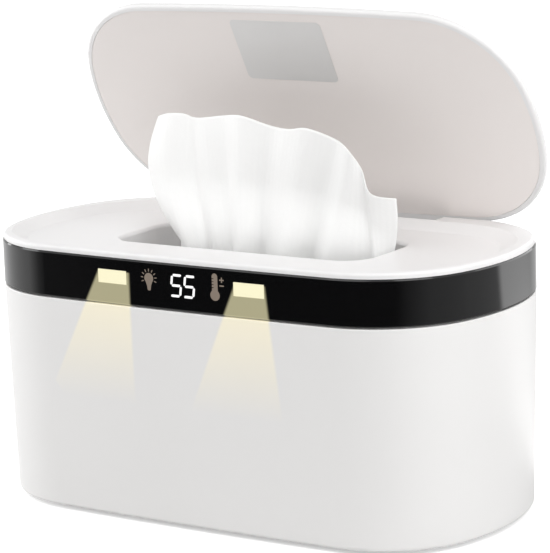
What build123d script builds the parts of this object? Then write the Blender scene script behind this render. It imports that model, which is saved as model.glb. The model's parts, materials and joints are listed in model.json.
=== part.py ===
"""Baby wipe warmer: a heated tub with a lift-off top cover, a dispensing well and a hinged lid.

Millimetres, +Z up, +X to the right, front towards -Y. The origin is the centre of the footprint,
on the surface that the feet stand on. The lid is modelled open, leaning forward over the well.
"""
import math
import os

from build123d import *

# ---- Plan outline: long sides, ends and corners are tangent arcs ----
length = 220.0
depth = 118.5
side_radius = 1960.0
end_radius = 89.0
corner_radius = 44.3

# ---- Base casing ----
foot_height = 1.5
shell_height = 85.2
draft = 1.9              # how far the foot of the casing is drawn in
wall = 2.4
shelf_width = 6.5        # inward shelf that carries the tank flange
bottom_round = 1.8
fit_gap = 0.3            # between pieces that drop into one another
slip = 0.1               # between close sliding fits
thread_gap = 0.05        # round a screw in its boss
screw_gap = 0.15         # round a small screw in a board
shelf_round = 0.5

# ---- Display band and the neck that carries it ----
band_gap = 0.5
band_height = 17.8
band_wall = 1.8
neck_wall = 1.4
band_clearance = 0.4     # between the band's inside and the cover
neck_height = 16.5

# ---- Top cover ----
rim_gap = 0.2
rim_height = 2.4
rim_inset = 0.5
rim_round = 1.3
tray_inset = 4.6         # rim edge of the tray, from the casing's outline
tray_back_extra = 7.4    # the tray stops short of the hinge
tray_slope = 6.4
tray_depth = 3.3
tray_foot_round = 2.5
relief_depth = 3.5       # the rim's back edge falls away under the lid's swing
relief_drop = 2.1
relief_half = 76.0
deck_wall = 1.8
skirt_inset = 7.4
skirt_wall = 1.4
well_length = 116.0
well_depth = 44.0
well_radius = 12.0
well_edge_round = 1.6
well_wall = 1.6
well_drop = 10.0
well_center_y = -2.0

# ---- Hinge and lid ----
open_angle = 60.8
hinge_inboard = 7.4      # axis, in from the casing's back
hinge_drop = 10.2        # axis, down from the top of the rim
knuckle_radius = 3.0
pin_radius = 1.25
pin_clearance = 0.05
pin_press = 0.02
pin_chamfer = 0.2
hinge_span = 96.0
knuckle_gap = 0.5
center_knuckle = 20.0
cover_knuckle = 21.0
lid_gap = 0.4
lid_thickness = 3.6
lid_skin = 1.6
lid_side_inset = 5.6
lid_back_inset = 10.0
lid_corner_radius = 41.2
lid_land = 2.4           # flat edge round the inner panel
leaf_rise = 2.0          # hinge leaf: how far it reaches up the lid's back edge
leaf_back = 0.4
leaf_taper = 1.4
leaf_shoulder = 4.6
liner_recess = 0.1
liner_gap = 0.1
lid_edge_round = 1.4
lid_top_round = 2.0

# ---- Tank, heater and insulation ----
tank_wall = 1.5
tank_inset = 7.5
tank_draft = 2.0
tank_floor_z = 19.0      # underside of the tank
tank_round = 6.0
flange_inset = 3.6
flange_thickness = 1.5
seal_height = 2.0
seal_chamfer = 0.4
heater_inset = 18.0
plate_thickness = 1.0
film_thickness = 0.3
film_inset = 3.0         # the film's edge, in from the plate's
pad_thickness = 3.2
wrap_gap = 0.4
wrap_thickness = 3.0
wrap_height = 58.0
stack_end_gap = 11.0       # between the wipes and the tank's foot
stack_side_gap = 6.2
stack_corner = 22.0
stack_height = 38.0
stack_rest = 0.3
fan_left = 58.0            # free edge of the raised wipe, from the middle
fan_right = 62.0
fan_crown = 154.0
fan_left_height = 28.0     # above the rim
fan_right_height = 15.0
fan_shoulder = 32.0
waist_left = 46.0          # where it passes the deck
waist_right = 54.0
wipe_foot = 40.0
wipe_thickness = 9.0

# ---- Display ----
window_length = 13.6
window_height = 5.4
window_spacing = 62.6
window_z = 97.8
lens_reach = 1.8         # the lenses reach this far into the shield
digit_length = 18.0
digit_height = 11.0
icon_spacing = 30.4
icon_radius = 4.6
shield_length = 92.0
shield_height = 12.2
shield_thickness = 3.0
board_thickness = 1.2
board_ear = 7.0
board_corner = 1.0

# ---- Electronics in the foot of the base ----
cover_thickness = 2.2
screw_x = 84.0
screw_y = 24.0
boss_radius = 3.6
screw_radius = 1.4
screw_head_radius = 2.8
screw_head_height = 1.6
foot_x = 78.0
foot_y = 36.0
foot_radius = 6.0
foot_recess = 0.6
foot_chamfer = 0.5
main_board_length = 78.0
main_board_depth = 46.0
main_board_z = 6.6
main_board_y = -4.0
inlet_x = 48.0
inlet_z = 10.4
inlet_bore = 2.8
inlet_barrel = 3.9
inlet_flange = 5.2

inlet_flange_thickness = 1.4
inlet_length = 11.0
inlet_depth = 9.5
inlet_pin = 1.0
inlet_nut_radius = 5.8
inlet_nut_height = 2.2
inlet_gap = 0.4
inlet_tab_offset = 2.0
inlet_tab_thickness = 0.6
inlet_tab_width = 2.2
inlet_tab_length = 4.0
screw_length = 9.0
screw_run_out = 1.0      # the boss is bored this much deeper than the screw
cross_length = 3.6       # the screws' cross recess
cross_width = 0.6
cross_depth = 0.8
rib_width = 1.6
small_screw_radius = 1.0
small_head_radius = 1.9
small_head_height = 1.1
small_screw_length = 2.6
post_pitch_x = 70.0
post_pitch_y = 38.0
post_radius = 2.4
post_bore = 2.4          # how deep a board screw reaches into its post
display_plug_y = -16.0
display_plug_height = 2.2
power_plug_x = 24.0
power_plug_y = 14.0
heater_plug_x = -22.0
heater_plug_y = -12.0
plug_length = 8.0
plug_depth = 6.0
plug_height = 3.6
capacitor_x = 16.0
capacitor_y = -10.0
capacitor_radius = 2.5
capacitor_length = 11.0
vent_pitch = 9.0
vent_count = 7
vent_row_y = 36.0
vent_length = 14.0
vent_width = 2.4
sensor_x = 32.0
sensor_pocket = 18.0
fuse_length = 8.0
fuse_radius = 1.3
fuse_lead = 3.0
fuse_lead_radius = 0.4
ntc_length = 5.0
ntc_width = 4.0
ntc_height = 2.4
lead_hole = 4.0
lead_hole_y = -14.0
ribbon_width = 10.0
ribbon_x = 0.0
ribbon_slot = 3.0
ribbon_slot_width = 13.0
ribbon_thickness = 0.3
ribbon_bend = 1.6
ribbon_rise = 4.2        # above the shelf, where it turns up behind the shield
ribbon_back_gap = 0.25
lead_radius = 0.7
lead_bend = 2.6
power_lead_turn = 2.0    # behind the plug, where the leads turn to it
heater_lead_half = 1.2
heater_lead_drop = 3.0
plug_lead_half = 1.6

# ---- Worked out from the values above ----
shell_bottom = foot_height
shell_top = shell_bottom + shell_height
shelf_z = shell_top - wall
band_bottom = shell_top + band_gap
band_top = band_bottom + band_height
rim_bottom = band_top + rim_gap
rim_top = rim_bottom + rim_height
tray_z = rim_top - tray_depth
deck_z = tray_z - deck_wall
flange_top = shell_top + flange_thickness
seal_top = flange_top + seal_height
skirt_bottom = seal_top + fit_gap
hinge_y = depth / 2 - hinge_inboard
hinge_z = rim_top - hinge_drop
neck_inset = band_wall + 0.1
tank_inner = tank_inset + tank_wall
tank_inner_z = tank_floor_z + tank_wall
front = -depth / 2
back = depth / 2
ear_radius = 2.6
ear_x = shield_length / 2 + board_ear / 2
shield_back = front + band_wall + fit_gap + shield_thickness
lens_depth = band_wall + fit_gap + lens_reach
led_size = 3.0
led_width = 2.4
led_height = 0.9
board_drop = 1.6
trough_half = hinge_span / 2 + 2.5
trough_wall = 1.5
trough_gap = 0.6
notch_gap = 0.5          # round the trough, in the neck and the band
trough_floor = hinge_z - knuckle_radius - trough_gap
trough_bottom = trough_floor - trough_wall
trough_back_top = hinge_z - 1.8
notch_z = hinge_z - 1.2
band_edge = 0.5
trough_front = knuckle_radius + trough_gap
trough_rear = knuckle_radius + trough_gap
pin_seat = 1.0
cover_knuckle_in = center_knuckle / 2 + knuckle_gap
cover_knuckle_out = cover_knuckle_in + cover_knuckle
lid_under = hinge_drop + lid_gap
lid_back = hinge_inboard - lid_back_inset
lid_center = lid_back - (depth - lid_side_inset - lid_back_inset) / 2
liner_thickness = lid_thickness - lid_skin - liner_recess
stack_length = length - 2 * (tank_inner + tank_draft + stack_end_gap)
stack_depth = depth - 2 * (tank_inner + tank_draft + stack_side_gap)
stack_z = tank_inner_z + stack_rest
wipe_bottom = stack_z + stack_height + stack_rest
boss_z = shell_bottom + cover_thickness + slip
rib_end = length / 2 - draft - wall - 2.0


def draft_at(z):
    """How far the casing's wall is drawn in at height z."""
    return draft * (shell_top - z) / shell_height


seat_y = back - draft_at(inlet_z) - inlet_x ** 2 / (2 * side_radius) - 0.9
plate_z = tank_floor_z - plate_thickness
film_z = plate_z - film_thickness
pad_z = film_z - pad_thickness
boss_height = pad_z - boss_z - 0.5
wrap_z = tank_floor_z + 5.0
wrap_foot_inset = tank_inset + tank_draft - wrap_gap
wrap_head_inset = tank_inset - wrap_gap
ribbon_slot_y = front + flange_inset + ribbon_slot / 2 + 0.2
ribbon_low_y = front + 2 * draft + wall - 0.6
ribbon_high_y = front + wall + 1.0
lead_z = main_board_z + board_thickness + 2.0


class Oval(BaseSketchObject):
    """A long oval: two long arcs, two end arcs and four corner arcs, all tangent."""

    def __init__(self, size_x, size_y, side_r, end_r, corner_r, inset=0.0,
                 rotation=0, align=None, mode=Mode.ADD):
        half_x, half_y = size_x / 2 - inset, size_y / 2 - inset
        side_r, end_r, corner_r = side_r - inset, end_r - inset, corner_r - inset
        side_c = Vector(0, half_y - side_r)
        end_c = Vector(half_x - end_r, 0)
        span = (end_c - side_c).length
        along = (end_c - side_c) / span
        reach = ((side_r - corner_r) ** 2 - (end_r - corner_r) ** 2 + span ** 2) / (2 * span)
        rise = math.sqrt((side_r - corner_r) ** 2 - reach ** 2)
        corner_c = side_c + along * reach + Vector(along.Y, -along.X) * rise
        side_t = side_c + (corner_c - side_c) * (side_r / (side_r - corner_r))
        end_t = end_c + (corner_c - end_c) * (end_r / (end_r - corner_r))
        middle = (side_t + end_t) / 2 - corner_c
        corner_m = corner_c + middle * (corner_r / middle.length)

        def spot(point, sign_x, sign_y):
            return (sign_x * point.X, sign_y * point.Y)

        with BuildSketch() as oval:
            with BuildLine():
                ThreePointArc(spot(side_t, -1, 1), (0, half_y), spot(side_t, 1, 1))
                ThreePointArc(spot(side_t, -1, -1), (0, -half_y), spot(side_t, 1, -1))
                for sx in (-1, 1):
                    ThreePointArc(spot(end_t, sx, -1), (sx * half_x, 0), spot(end_t, sx, 1))
                    for sy in (-1, 1):
                        ThreePointArc(spot(side_t, sx, sy), spot(corner_m, sx, sy), spot(end_t, sx, sy))
            make_face()
        super().__init__(obj=oval.sketch, rotation=rotation, align=align, mode=mode)


class Plan(Oval):
    """The casing's outline in plan, drawn in evenly by inset."""

    def __init__(self, inset=0.0, mode=Mode.ADD):
        super().__init__(length, depth, side_radius, end_radius, corner_radius, inset, mode=mode)


class TrayOutline(Oval):
    """The tray's rim edge in plan, drawn in evenly by inset."""

    def __init__(self, inset=0.0, mode=Mode.ADD):
        super().__init__(length - 2 * tray_inset, depth - 2 * tray_inset - tray_back_extra,
                         side_radius - tray_inset, end_radius - tray_inset,
                         corner_radius - tray_inset, inset, mode=mode)


class LidOutline(Oval):
    """The lid's outline in its own plane, drawn in evenly by inset."""

    def __init__(self, inset=0.0, mode=Mode.ADD):
        super().__init__(length - 2 * lid_side_inset, depth - lid_side_inset - lid_back_inset,
                         side_radius - lid_side_inset, end_radius - lid_side_inset,
                         lid_corner_radius, inset, mode=mode)


def finish(part, label):
    """Name a finished piece and write its STEP file."""
    part.label = label
    export_step(part, f"parts/{label}.step")


os.makedirs("parts", exist_ok=True)

# ================= Base =================

# Casing: drafted wall, shelf at the top, neck inside the band, screw bosses at the foot.
with BuildPart() as outer_shell:
    with BuildSketch(Plane.XY.offset(shell_bottom)):
        Plan(draft)
    with BuildSketch(Plane.XY.offset(shell_top)):
        Plan()
    loft(ruled=True)
    fillet(outer_shell.edges().group_by(Axis.Z)[0], bottom_round)
    fillet(outer_shell.edges().group_by(Axis.Z)[-1], shelf_round)
    with BuildSketch(Plane.XY.offset(shell_bottom)):
        Plan(draft + wall)
    with BuildSketch(Plane.XY.offset(shelf_z)):
        Plan(draft_at(shelf_z) + wall)
    loft(ruled=True, mode=Mode.SUBTRACT)
    with BuildSketch(Plane.XY.offset(shelf_z)):
        Plan(shelf_width)
    extrude(amount=wall, mode=Mode.SUBTRACT)
    with BuildSketch(Plane.XY.offset(shell_top)):
        Plan(neck_inset)
        Plan(neck_inset + neck_wall, mode=Mode.SUBTRACT)
    extrude(amount=neck_height)
    # window in the neck for the display, with an ear at each end for the board's screws
    with BuildSketch(Plane.XY.offset(flange_top + 1.0)):
        with Locations((0, front)):
            Rectangle(shield_length + 2 * fit_gap, 2 * skirt_inset)
    extrude(amount=neck_height, mode=Mode.SUBTRACT)
    with BuildSketch(Plane.XZ.offset(-shield_back)):
        with Locations((-ear_x, window_z), (ear_x, window_z)):
            Circle(ear_radius)
    extrude(amount=shield_back - front - neck_inset - neck_wall / 2)
    with BuildSketch(Plane.XZ.offset(-shield_back)):
        with Locations((-ear_x, window_z), (ear_x, window_z)):
            Circle(small_screw_radius + thread_gap)
    extrude(amount=small_screw_length - board_thickness + slip, mode=Mode.SUBTRACT)
    # notch in the neck for the cover's hinge trough
    with BuildSketch(Plane.XY.offset(trough_bottom - notch_gap)):
        with Locations((0, depth / 2 - neck_inset)):
            Rectangle(2 * (trough_half + trough_wall + notch_gap), 4 * neck_wall)
    extrude(amount=neck_height, mode=Mode.SUBTRACT)
    # ribbon slot in the shelf
    with BuildSketch(Plane.XY.offset(shelf_z)):
        with Locations((0, ribbon_slot_y)):
            Rectangle(ribbon_slot_width, ribbon_slot)
    extrude(amount=wall, mode=Mode.SUBTRACT)
    # screw bosses, each with a rib to the end wall
    with BuildSketch(Plane.XY.offset(boss_z)):
        with GridLocations(2 * screw_x, 2 * screw_y, 2, 2):
            Circle(boss_radius)
        with GridLocations(screw_x + rib_end, 2 * screw_y, 2, 2):
            Rectangle(rib_end - screw_x, rib_width)
    extrude(amount=boss_height)
    with BuildSketch(Plane.XY.offset(boss_z)):
        with GridLocations(2 * screw_x, 2 * screw_y, 2, 2):
            Circle(screw_radius + thread_gap)
    extrude(amount=screw_length, mode=Mode.SUBTRACT)
    # power inlet: flat seat and hole in the back wall
    with BuildSketch(Plane.XZ.offset(-seat_y)):
        with Locations((inlet_x, inlet_z)):
            Circle(inlet_flange + inlet_gap)
    extrude(amount=-2 * wall, mode=Mode.SUBTRACT)
    with BuildSketch(Plane.XZ.offset(-seat_y)):
        with Locations((inlet_x, inlet_z)):
            Circle(inlet_barrel + slip)
    extrude(amount=2 * wall, mode=Mode.SUBTRACT)
finish(outer_shell.part, "outer_shell")

# Bottom cover: plate inside the casing's foot, with vents, screw and foot recesses, board posts.
with BuildPart() as bottom_cover:
    with BuildSketch(Plane.XY.offset(shell_bottom)):
        Plan(draft + wall + fit_gap)
    extrude(amount=cover_thickness)
    with BuildSketch(Plane.XY.offset(shell_bottom)):
        with GridLocations(2 * foot_x, 2 * foot_y, 2, 2):
            Circle(foot_radius + slip)
    extrude(amount=foot_recess, mode=Mode.SUBTRACT)
    with BuildSketch(Plane.XY.offset(shell_bottom)):
        with GridLocations(2 * screw_x, 2 * screw_y, 2, 2):
            Circle(screw_head_radius + fit_gap)
    extrude(amount=screw_head_height, mode=Mode.SUBTRACT)
    with BuildSketch(Plane.XY.offset(shell_bottom)):
        with GridLocations(2 * screw_x, 2 * screw_y, 2, 2):
            Circle(screw_radius + 2 * slip)
    extrude(amount=cover_thickness, mode=Mode.SUBTRACT)
    with BuildSketch(Plane.XY.offset(shell_bottom)):
        with GridLocations(vent_pitch, 2 * vent_row_y, vent_count, 2):
            SlotOverall(vent_length, vent_width, rotation=90)
    extrude(amount=cover_thickness, mode=Mode.SUBTRACT)
    with BuildSketch(Plane.XY.offset(shell_bottom + cover_thickness)):
        with Locations((0, main_board_y)):
            with GridLocations(post_pitch_x, post_pitch_y, 2, 2):
                Circle(post_radius)
                Circle(small_screw_radius + thread_gap, mode=Mode.SUBTRACT)
    extrude(amount=main_board_z - shell_bottom - cover_thickness)
finish(bottom_cover.part, "bottom_cover")

# Rubber feet: four domed discs in the cover's recesses.
with BuildPart() as rubber_feet:
    with BuildSketch(Plane.XY):
        with GridLocations(2 * foot_x, 2 * foot_y, 2, 2):
            Circle(foot_radius)
    extrude(amount=foot_height + foot_recess)
    chamfer(rubber_feet.edges().group_by(Axis.Z)[0], foot_chamfer)
finish(rubber_feet.part, "rubber_feet")

# Cover screws: countersunk in the bottom cover, threaded into the casing's bosses.
with BuildPart() as bottom_screws:
    with BuildSketch(Plane.XY.offset(shell_bottom + slip)):
        with GridLocations(2 * screw_x, 2 * screw_y, 2, 2):
            Circle(screw_head_radius)
    extrude(amount=screw_head_height - slip)
    with BuildSketch(Plane.XY.offset(shell_bottom + screw_head_height)):
        with GridLocations(2 * screw_x, 2 * screw_y, 2, 2):
            Circle(screw_radius)
    extrude(amount=screw_length - screw_run_out)
    with BuildSketch(Plane.XY.offset(shell_bottom + slip)):
        with GridLocations(2 * screw_x, 2 * screw_y, 2, 2):
            Rectangle(cross_length, cross_width)
            Rectangle(cross_width, cross_length)
    extrude(amount=cross_depth, mode=Mode.SUBTRACT)
finish(bottom_screws.part, "bottom_screws")

# Display band: glossy ring outside the neck, with two light windows and a notch for the hinge.
with BuildPart() as display_band:
    with BuildSketch(Plane.XY.offset(band_bottom)):
        Plan()
    extrude(amount=band_height)
    chamfer(display_band.faces().filter_by(Axis.Z).edges(), band_edge)
    with BuildSketch(Plane.XY.offset(band_bottom)):
        Plan(band_wall)
    extrude(amount=band_height, mode=Mode.SUBTRACT)
    with BuildSketch(Plane.XZ.offset(-front - 2 * band_wall)):
        with Locations((-window_spacing / 2, window_z), (window_spacing / 2, window_z)):
            Rectangle(window_length, window_height)
    extrude(amount=2 * band_wall + 1, mode=Mode.SUBTRACT)
    with BuildSketch(Plane.XY.offset(notch_z)):
        with Locations((0, depth / 2)):
            Rectangle(2 * (trough_half + trough_wall + notch_gap), 4 * band_wall)
    extrude(amount=band_height, mode=Mode.SUBTRACT)
finish(display_band.part, "display_band")

# Night light lenses: frosted bars that fill the band's windows and reach back to the lamps.
for side, name in ((-1, "night_light_lens_left"), (1, "night_light_lens_right")):
    with BuildPart() as lens:
        with BuildSketch(Plane.XY.offset(window_z - window_height / 2 + slip)):
            Plan(slip)
        extrude(amount=window_height - 2 * slip)
        with BuildSketch(Plane.XY.offset(band_bottom)):
            with Locations((side * window_spacing / 2, front + lens_depth / 2)):
                Rectangle(window_length - 2 * slip, lens_depth)
        extrude(amount=band_height, mode=Mode.INTERSECT)
    finish(lens.part, name)

# Light shield: black block behind the band that keeps each light in its own window.
with BuildPart() as light_shield:
    with BuildSketch(Plane.XY.offset(window_z - shield_height / 2)):
        Plan(band_wall + fit_gap)
    extrude(amount=shield_height)
    with BuildSketch(Plane.XY.offset(window_z - shield_height / 2)):
        with Locations((0, shield_back - shield_thickness)):
            Rectangle(shield_length, 2 * shield_thickness)
    extrude(amount=shield_height, mode=Mode.INTERSECT)
    with BuildSketch(Plane.XZ.offset(-shield_back)):
        with Locations((-window_spacing / 2, window_z), (window_spacing / 2, window_z)):
            Rectangle(window_length + 2 * slip, window_height + 2 * slip)
        with Locations((-icon_spacing / 2, window_z), (icon_spacing / 2, window_z)):
            Circle(icon_radius + slip)
        with Locations((0, window_z)):
            Rectangle(digit_length + 2 * slip, digit_height + 2 * slip)
    extrude(amount=2 * shield_thickness, mode=Mode.SUBTRACT)
finish(light_shield.part, "light_shield")

# Digit display: two-figure lamp block in the shield's middle window.
with BuildPart() as digit_display:
    with BuildSketch(Plane.XZ.offset(-shield_back)):
        with Locations((0, window_z)):
            Rectangle(digit_length, digit_height)
    extrude(amount=shield_thickness)
finish(digit_display.part, "digit_display")

# Touch pads: conductive foam between the board and the back of each icon.
with BuildPart() as touch_pads:
    with BuildSketch(Plane.XZ.offset(-shield_back)):
        with Locations((-icon_spacing / 2, window_z), (icon_spacing / 2, window_z)):
            Circle(icon_radius)
    extrude(amount=shield_thickness)
finish(touch_pads.part, "touch_pads")

# Display board, screwed to the ears on the neck.
with BuildPart() as display_board:
    with BuildSketch(Plane.XZ.offset(-shield_back)):
        with Locations((0, window_z - board_drop / 2)):
            RectangleRounded(shield_length, shield_height + board_drop, board_corner)
        with Locations((0, window_z)):
            RectangleRounded(shield_length + 2 * board_ear, 2 * ear_radius, board_corner)
        with Locations((-ear_x, window_z), (ear_x, window_z)):
            Circle(small_screw_radius + screw_gap, mode=Mode.SUBTRACT)
    extrude(amount=-board_thickness)
finish(display_board.part, "display_board")

# Lamps of the night light, soldered to the front of the display board.
with BuildPart() as night_light_leds:
    with BuildSketch(Plane.XZ.offset(-shield_back)):
        with Locations((-window_spacing / 2, window_z), (window_spacing / 2, window_z)):
            with GridLocations(window_length / 2, 1, 2, 1):
                Rectangle(led_size, led_width)
    extrude(amount=led_height)
finish(night_light_leds.part, "night_light_leds")

# Display screws, one through each ear.
with BuildPart() as display_screws:
    with BuildSketch(Plane.XZ.offset(-shield_back - board_thickness)):
        with Locations((-ear_x, window_z), (ear_x, window_z)):
            Circle(small_head_radius)
    extrude(amount=-small_head_height)
    with BuildSketch(Plane.XZ.offset(-shield_back - board_thickness)):
        with Locations((-ear_x, window_z), (ear_x, window_z)):
            Circle(small_screw_radius)
    extrude(amount=small_screw_length)
finish(display_screws.part, "display_screws")

# Inner tank: drafted tub with a rounded foot, hung from the shelf by its flange.
with BuildPart() as inner_tank:
    with BuildSketch(Plane.XY.offset(tank_floor_z)):
        Plan(tank_inset + tank_draft)
    with BuildSketch(Plane.XY.offset(flange_top)):
        Plan(tank_inset)
    loft(ruled=True)
    chamfer(inner_tank.edges().group_by(Axis.Z)[0], 0.6 * tank_round)
    with BuildSketch(Plane.XY.offset(shell_top)):
        Plan(flange_inset)
    extrude(amount=flange_thickness)
    with BuildSketch(Plane.XY.offset(shell_top)):
        with Locations((0, ribbon_slot_y)):
            Rectangle(ribbon_slot_width, ribbon_slot)
    extrude(amount=flange_thickness, mode=Mode.SUBTRACT)
    with BuildPart(mode=Mode.SUBTRACT) as tank_space:
        with BuildSketch(Plane.XY.offset(tank_inner_z)):
            Plan(tank_inner + tank_draft)
        with BuildSketch(Plane.XY.offset(flange_top)):
            Plan(tank_inner)
        loft(ruled=True)
        fillet(tank_space.edges().group_by(Axis.Z)[0], tank_round - tank_wall)
finish(inner_tank.part, "inner_tank")

# Tank seal: silicone ring on the flange, under the cover's skirt.
with BuildPart() as tank_seal:
    with BuildSketch(Plane.XY.offset(flange_top)):
        Plan(skirt_inset - fit_gap)
        Plan(skirt_inset + skirt_wall, mode=Mode.SUBTRACT)
    extrude(amount=seal_height)
    chamfer(tank_seal.edges().group_by(Axis.Z)[-1], seal_chamfer)
finish(tank_seal.part, "tank_seal")

# Heater: aluminium spreader, film, insulating pad with pockets for the two sensors.
with BuildPart() as heater_plate:
    with BuildSketch(Plane.XY.offset(plate_z)):
        Plan(heater_inset)
    extrude(amount=plate_thickness)
finish(heater_plate.part, "heater_plate")

with BuildPart() as heating_film:
    with BuildSketch(Plane.XY.offset(film_z)):
        Plan(heater_inset + film_inset)
    extrude(amount=film_thickness)
finish(heating_film.part, "heating_film")

with BuildPart() as insulation_pad:
    with BuildSketch(Plane.XY.offset(pad_z)):
        Plan(heater_inset)
        with Locations((-sensor_x, 0), (sensor_x, 0)):
            Rectangle(sensor_pocket, sensor_pocket / 2, mode=Mode.SUBTRACT)
        with Locations((0, lead_hole_y)):
            Circle(lead_hole, mode=Mode.SUBTRACT)
    extrude(amount=pad_thickness)
finish(insulation_pad.part, "insulation_pad")

with BuildPart() as thermal_fuse:
    with BuildSketch(Plane.YZ.offset(sensor_x - fuse_length / 2)):
        with Locations((0, film_z - fuse_radius - slip)):
            Circle(fuse_radius)
    extrude(amount=fuse_length)
    with BuildSketch(Plane.YZ.offset(sensor_x - fuse_length / 2 - fuse_lead)):
        with Locations((0, film_z - fuse_radius - slip)):
            Circle(fuse_lead_radius)
    extrude(amount=fuse_length + 2 * fuse_lead)
finish(thermal_fuse.part, "thermal_fuse")

with BuildPart() as ntc_sensor:
    with BuildSketch(Plane.YZ.offset(-sensor_x - ntc_length / 2)):
        with Locations((0, film_z - ntc_height / 2 - 2 * slip)):
            SlotOverall(ntc_width, ntc_height)
    extrude(amount=ntc_length)
finish(ntc_sensor.part, "ntc_sensor")

# Foam wrap round the tank, between it and the casing.
with BuildPart() as insulation_wrap:
    with BuildSketch(Plane.XY.offset(wrap_z)):
        Plan(wrap_foot_inset - wrap_thickness)
    with BuildSketch(Plane.XY.offset(wrap_z + wrap_height)):
        Plan(wrap_head_inset - wrap_thickness)
    loft(ruled=True)
    with BuildSketch(Plane.XY.offset(wrap_z)):
        Plan(wrap_foot_inset)
    with BuildSketch(Plane.XY.offset(wrap_z + wrap_height)):
        Plan(wrap_head_inset)
    loft(ruled=True, mode=Mode.SUBTRACT)
finish(insulation_wrap.part, "insulation_wrap")

# Main board on the cover's posts, its components and its screws.
with BuildPart() as main_board:
    with BuildSketch(Plane.XY.offset(main_board_z)):
        with Locations((0, main_board_y)):
            RectangleRounded(main_board_length, main_board_depth, 2 * board_corner)
            with GridLocations(post_pitch_x, post_pitch_y, 2, 2):
                Circle(small_screw_radius + screw_gap, mode=Mode.SUBTRACT)
    extrude(amount=board_thickness)
finish(main_board.part, "main_board")

with BuildPart() as board_components:
    board_top = Plane.XY.offset(main_board_z + board_thickness)
    for x, y, size_x, size_y, height in (
            (-24, 4, 12, 9, 4.2),     # regulator coil
            (-6, 0, 9, 9, 1.4),       # controller
            (12, 6, 6, 8, 3.0),       # heater switch
            (ribbon_x, display_plug_y, ribbon_slot_width, 4, display_plug_height),
            (power_plug_x, power_plug_y, plug_length, plug_depth, plug_height),
            (heater_plug_x, heater_plug_y, plug_length, plug_depth, plug_height)):
        with BuildSketch(board_top):
            with Locations((x, main_board_y + y)):
                Rectangle(size_x, size_y)
        extrude(amount=height)
    with BuildSketch(Plane.YZ.offset(capacitor_x)):
        with Locations((main_board_y + capacitor_y, main_board_z + board_thickness + capacitor_radius)):
            Circle(capacitor_radius)
    extrude(amount=capacitor_length)
finish(board_components.part, "board_components")

with BuildPart() as board_screws:
    with BuildSketch(board_top):
        with Locations((0, main_board_y)):
            with GridLocations(post_pitch_x, post_pitch_y, 2, 2):
                Circle(small_head_radius)
    extrude(amount=small_head_height)
    with BuildSketch(board_top):
        with Locations((0, main_board_y)):
            with GridLocations(post_pitch_x, post_pitch_y, 2, 2):
                Circle(small_screw_radius)
    extrude(amount=-(board_thickness + post_bore))
finish(board_screws.part, "board_screws")

# Power inlet: barrel socket from outside, nut from inside, centre pin and two tabs.
with BuildPart() as power_inlet:
    with BuildSketch(Plane.XZ.offset(-seat_y)):
        with Locations((inlet_x, inlet_z)):
            Circle(inlet_flange)
    extrude(amount=-inlet_flange_thickness)
    chamfer(power_inlet.edges().group_by(Axis.Y)[-1], inlet_gap)
    with BuildSketch(Plane.XZ.offset(-seat_y)):
        with Locations((inlet_x, inlet_z)):
            Circle(inlet_barrel)
    extrude(amount=inlet_length)
    with BuildSketch(Plane.XZ.offset(-seat_y - inlet_flange_thickness)):
        with Locations((inlet_x, inlet_z)):
            Circle(inlet_bore)
            Circle(inlet_pin, mode=Mode.SUBTRACT)
    extrude(amount=inlet_depth, mode=Mode.SUBTRACT)
    with BuildSketch(Plane.XZ.offset(-seat_y + inlet_length)):
        with Locations((inlet_x - inlet_tab_offset, inlet_z), (inlet_x + inlet_tab_offset, inlet_z)):
            Rectangle(inlet_tab_thickness, inlet_tab_width)
    extrude(amount=inlet_tab_length)
finish(power_inlet.part, "power_inlet")

with BuildPart() as inlet_nut:
    with BuildSketch(Plane.XZ.offset(-seat_y + wall + inlet_gap)):
        with Locations((inlet_x, inlet_z)):
            RegularPolygon(inlet_nut_radius, 6)
            Circle(inlet_barrel + thread_gap, mode=Mode.SUBTRACT)
    extrude(amount=inlet_nut_height)
finish(inlet_nut.part, "inlet_nut")

# Ribbon from the main board up the front wall to the display board.
ribbon_z = main_board_z + board_thickness + display_plug_height + ribbon_thickness
ribbon_top = window_z - shield_height / 2 - fit_gap - slip
ribbon_face_y = shield_back - ribbon_back_gap
with BuildPart() as display_ribbon:
    with BuildSketch(Plane.YZ.offset(ribbon_x - ribbon_width / 2)):
        with BuildLine() as ribbon_path:
            FilletPolyline(
                (main_board_y + display_plug_y, ribbon_z),
                (ribbon_low_y, ribbon_z),
                (ribbon_low_y, wrap_z),
                (ribbon_high_y, wrap_z + wrap_height),
                (ribbon_slot_y, shelf_z),
                (ribbon_face_y, shelf_z + ribbon_rise),
                (ribbon_face_y, ribbon_top),
                radius=ribbon_bend)
        trace(ribbon_path.line, ribbon_thickness)
    extrude(amount=ribbon_width)
finish(display_ribbon.part, "display_ribbon")

# Leads: inlet to board, and board up through the pad to the heating film.
def lead(points):
    """One insulated wire along straight runs joined by tangent arcs."""
    with BuildLine() as path:
        FilletPolyline(*points, radius=lead_bend)
    with BuildSketch(Plane(origin=path.line @ 0, z_dir=path.line % 0)) as section:
        Circle(lead_radius)
    sweep(section.sketch, path=path.wire())


with BuildPart() as power_leads:
    for side in (-1, 1):
        lead_x = inlet_x + inlet_tab_offset * side
        plug_y = main_board_y + power_plug_y + inlet_tab_offset * side
        lead(((lead_x, seat_y - inlet_length - inlet_tab_length - slip, inlet_z),
              (lead_x, plug_y + power_lead_turn, inlet_z),
              (power_plug_x + plug_length / 2 + 2 * slip, plug_y, lead_z)))
finish(power_leads.part, "power_leads")

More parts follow.
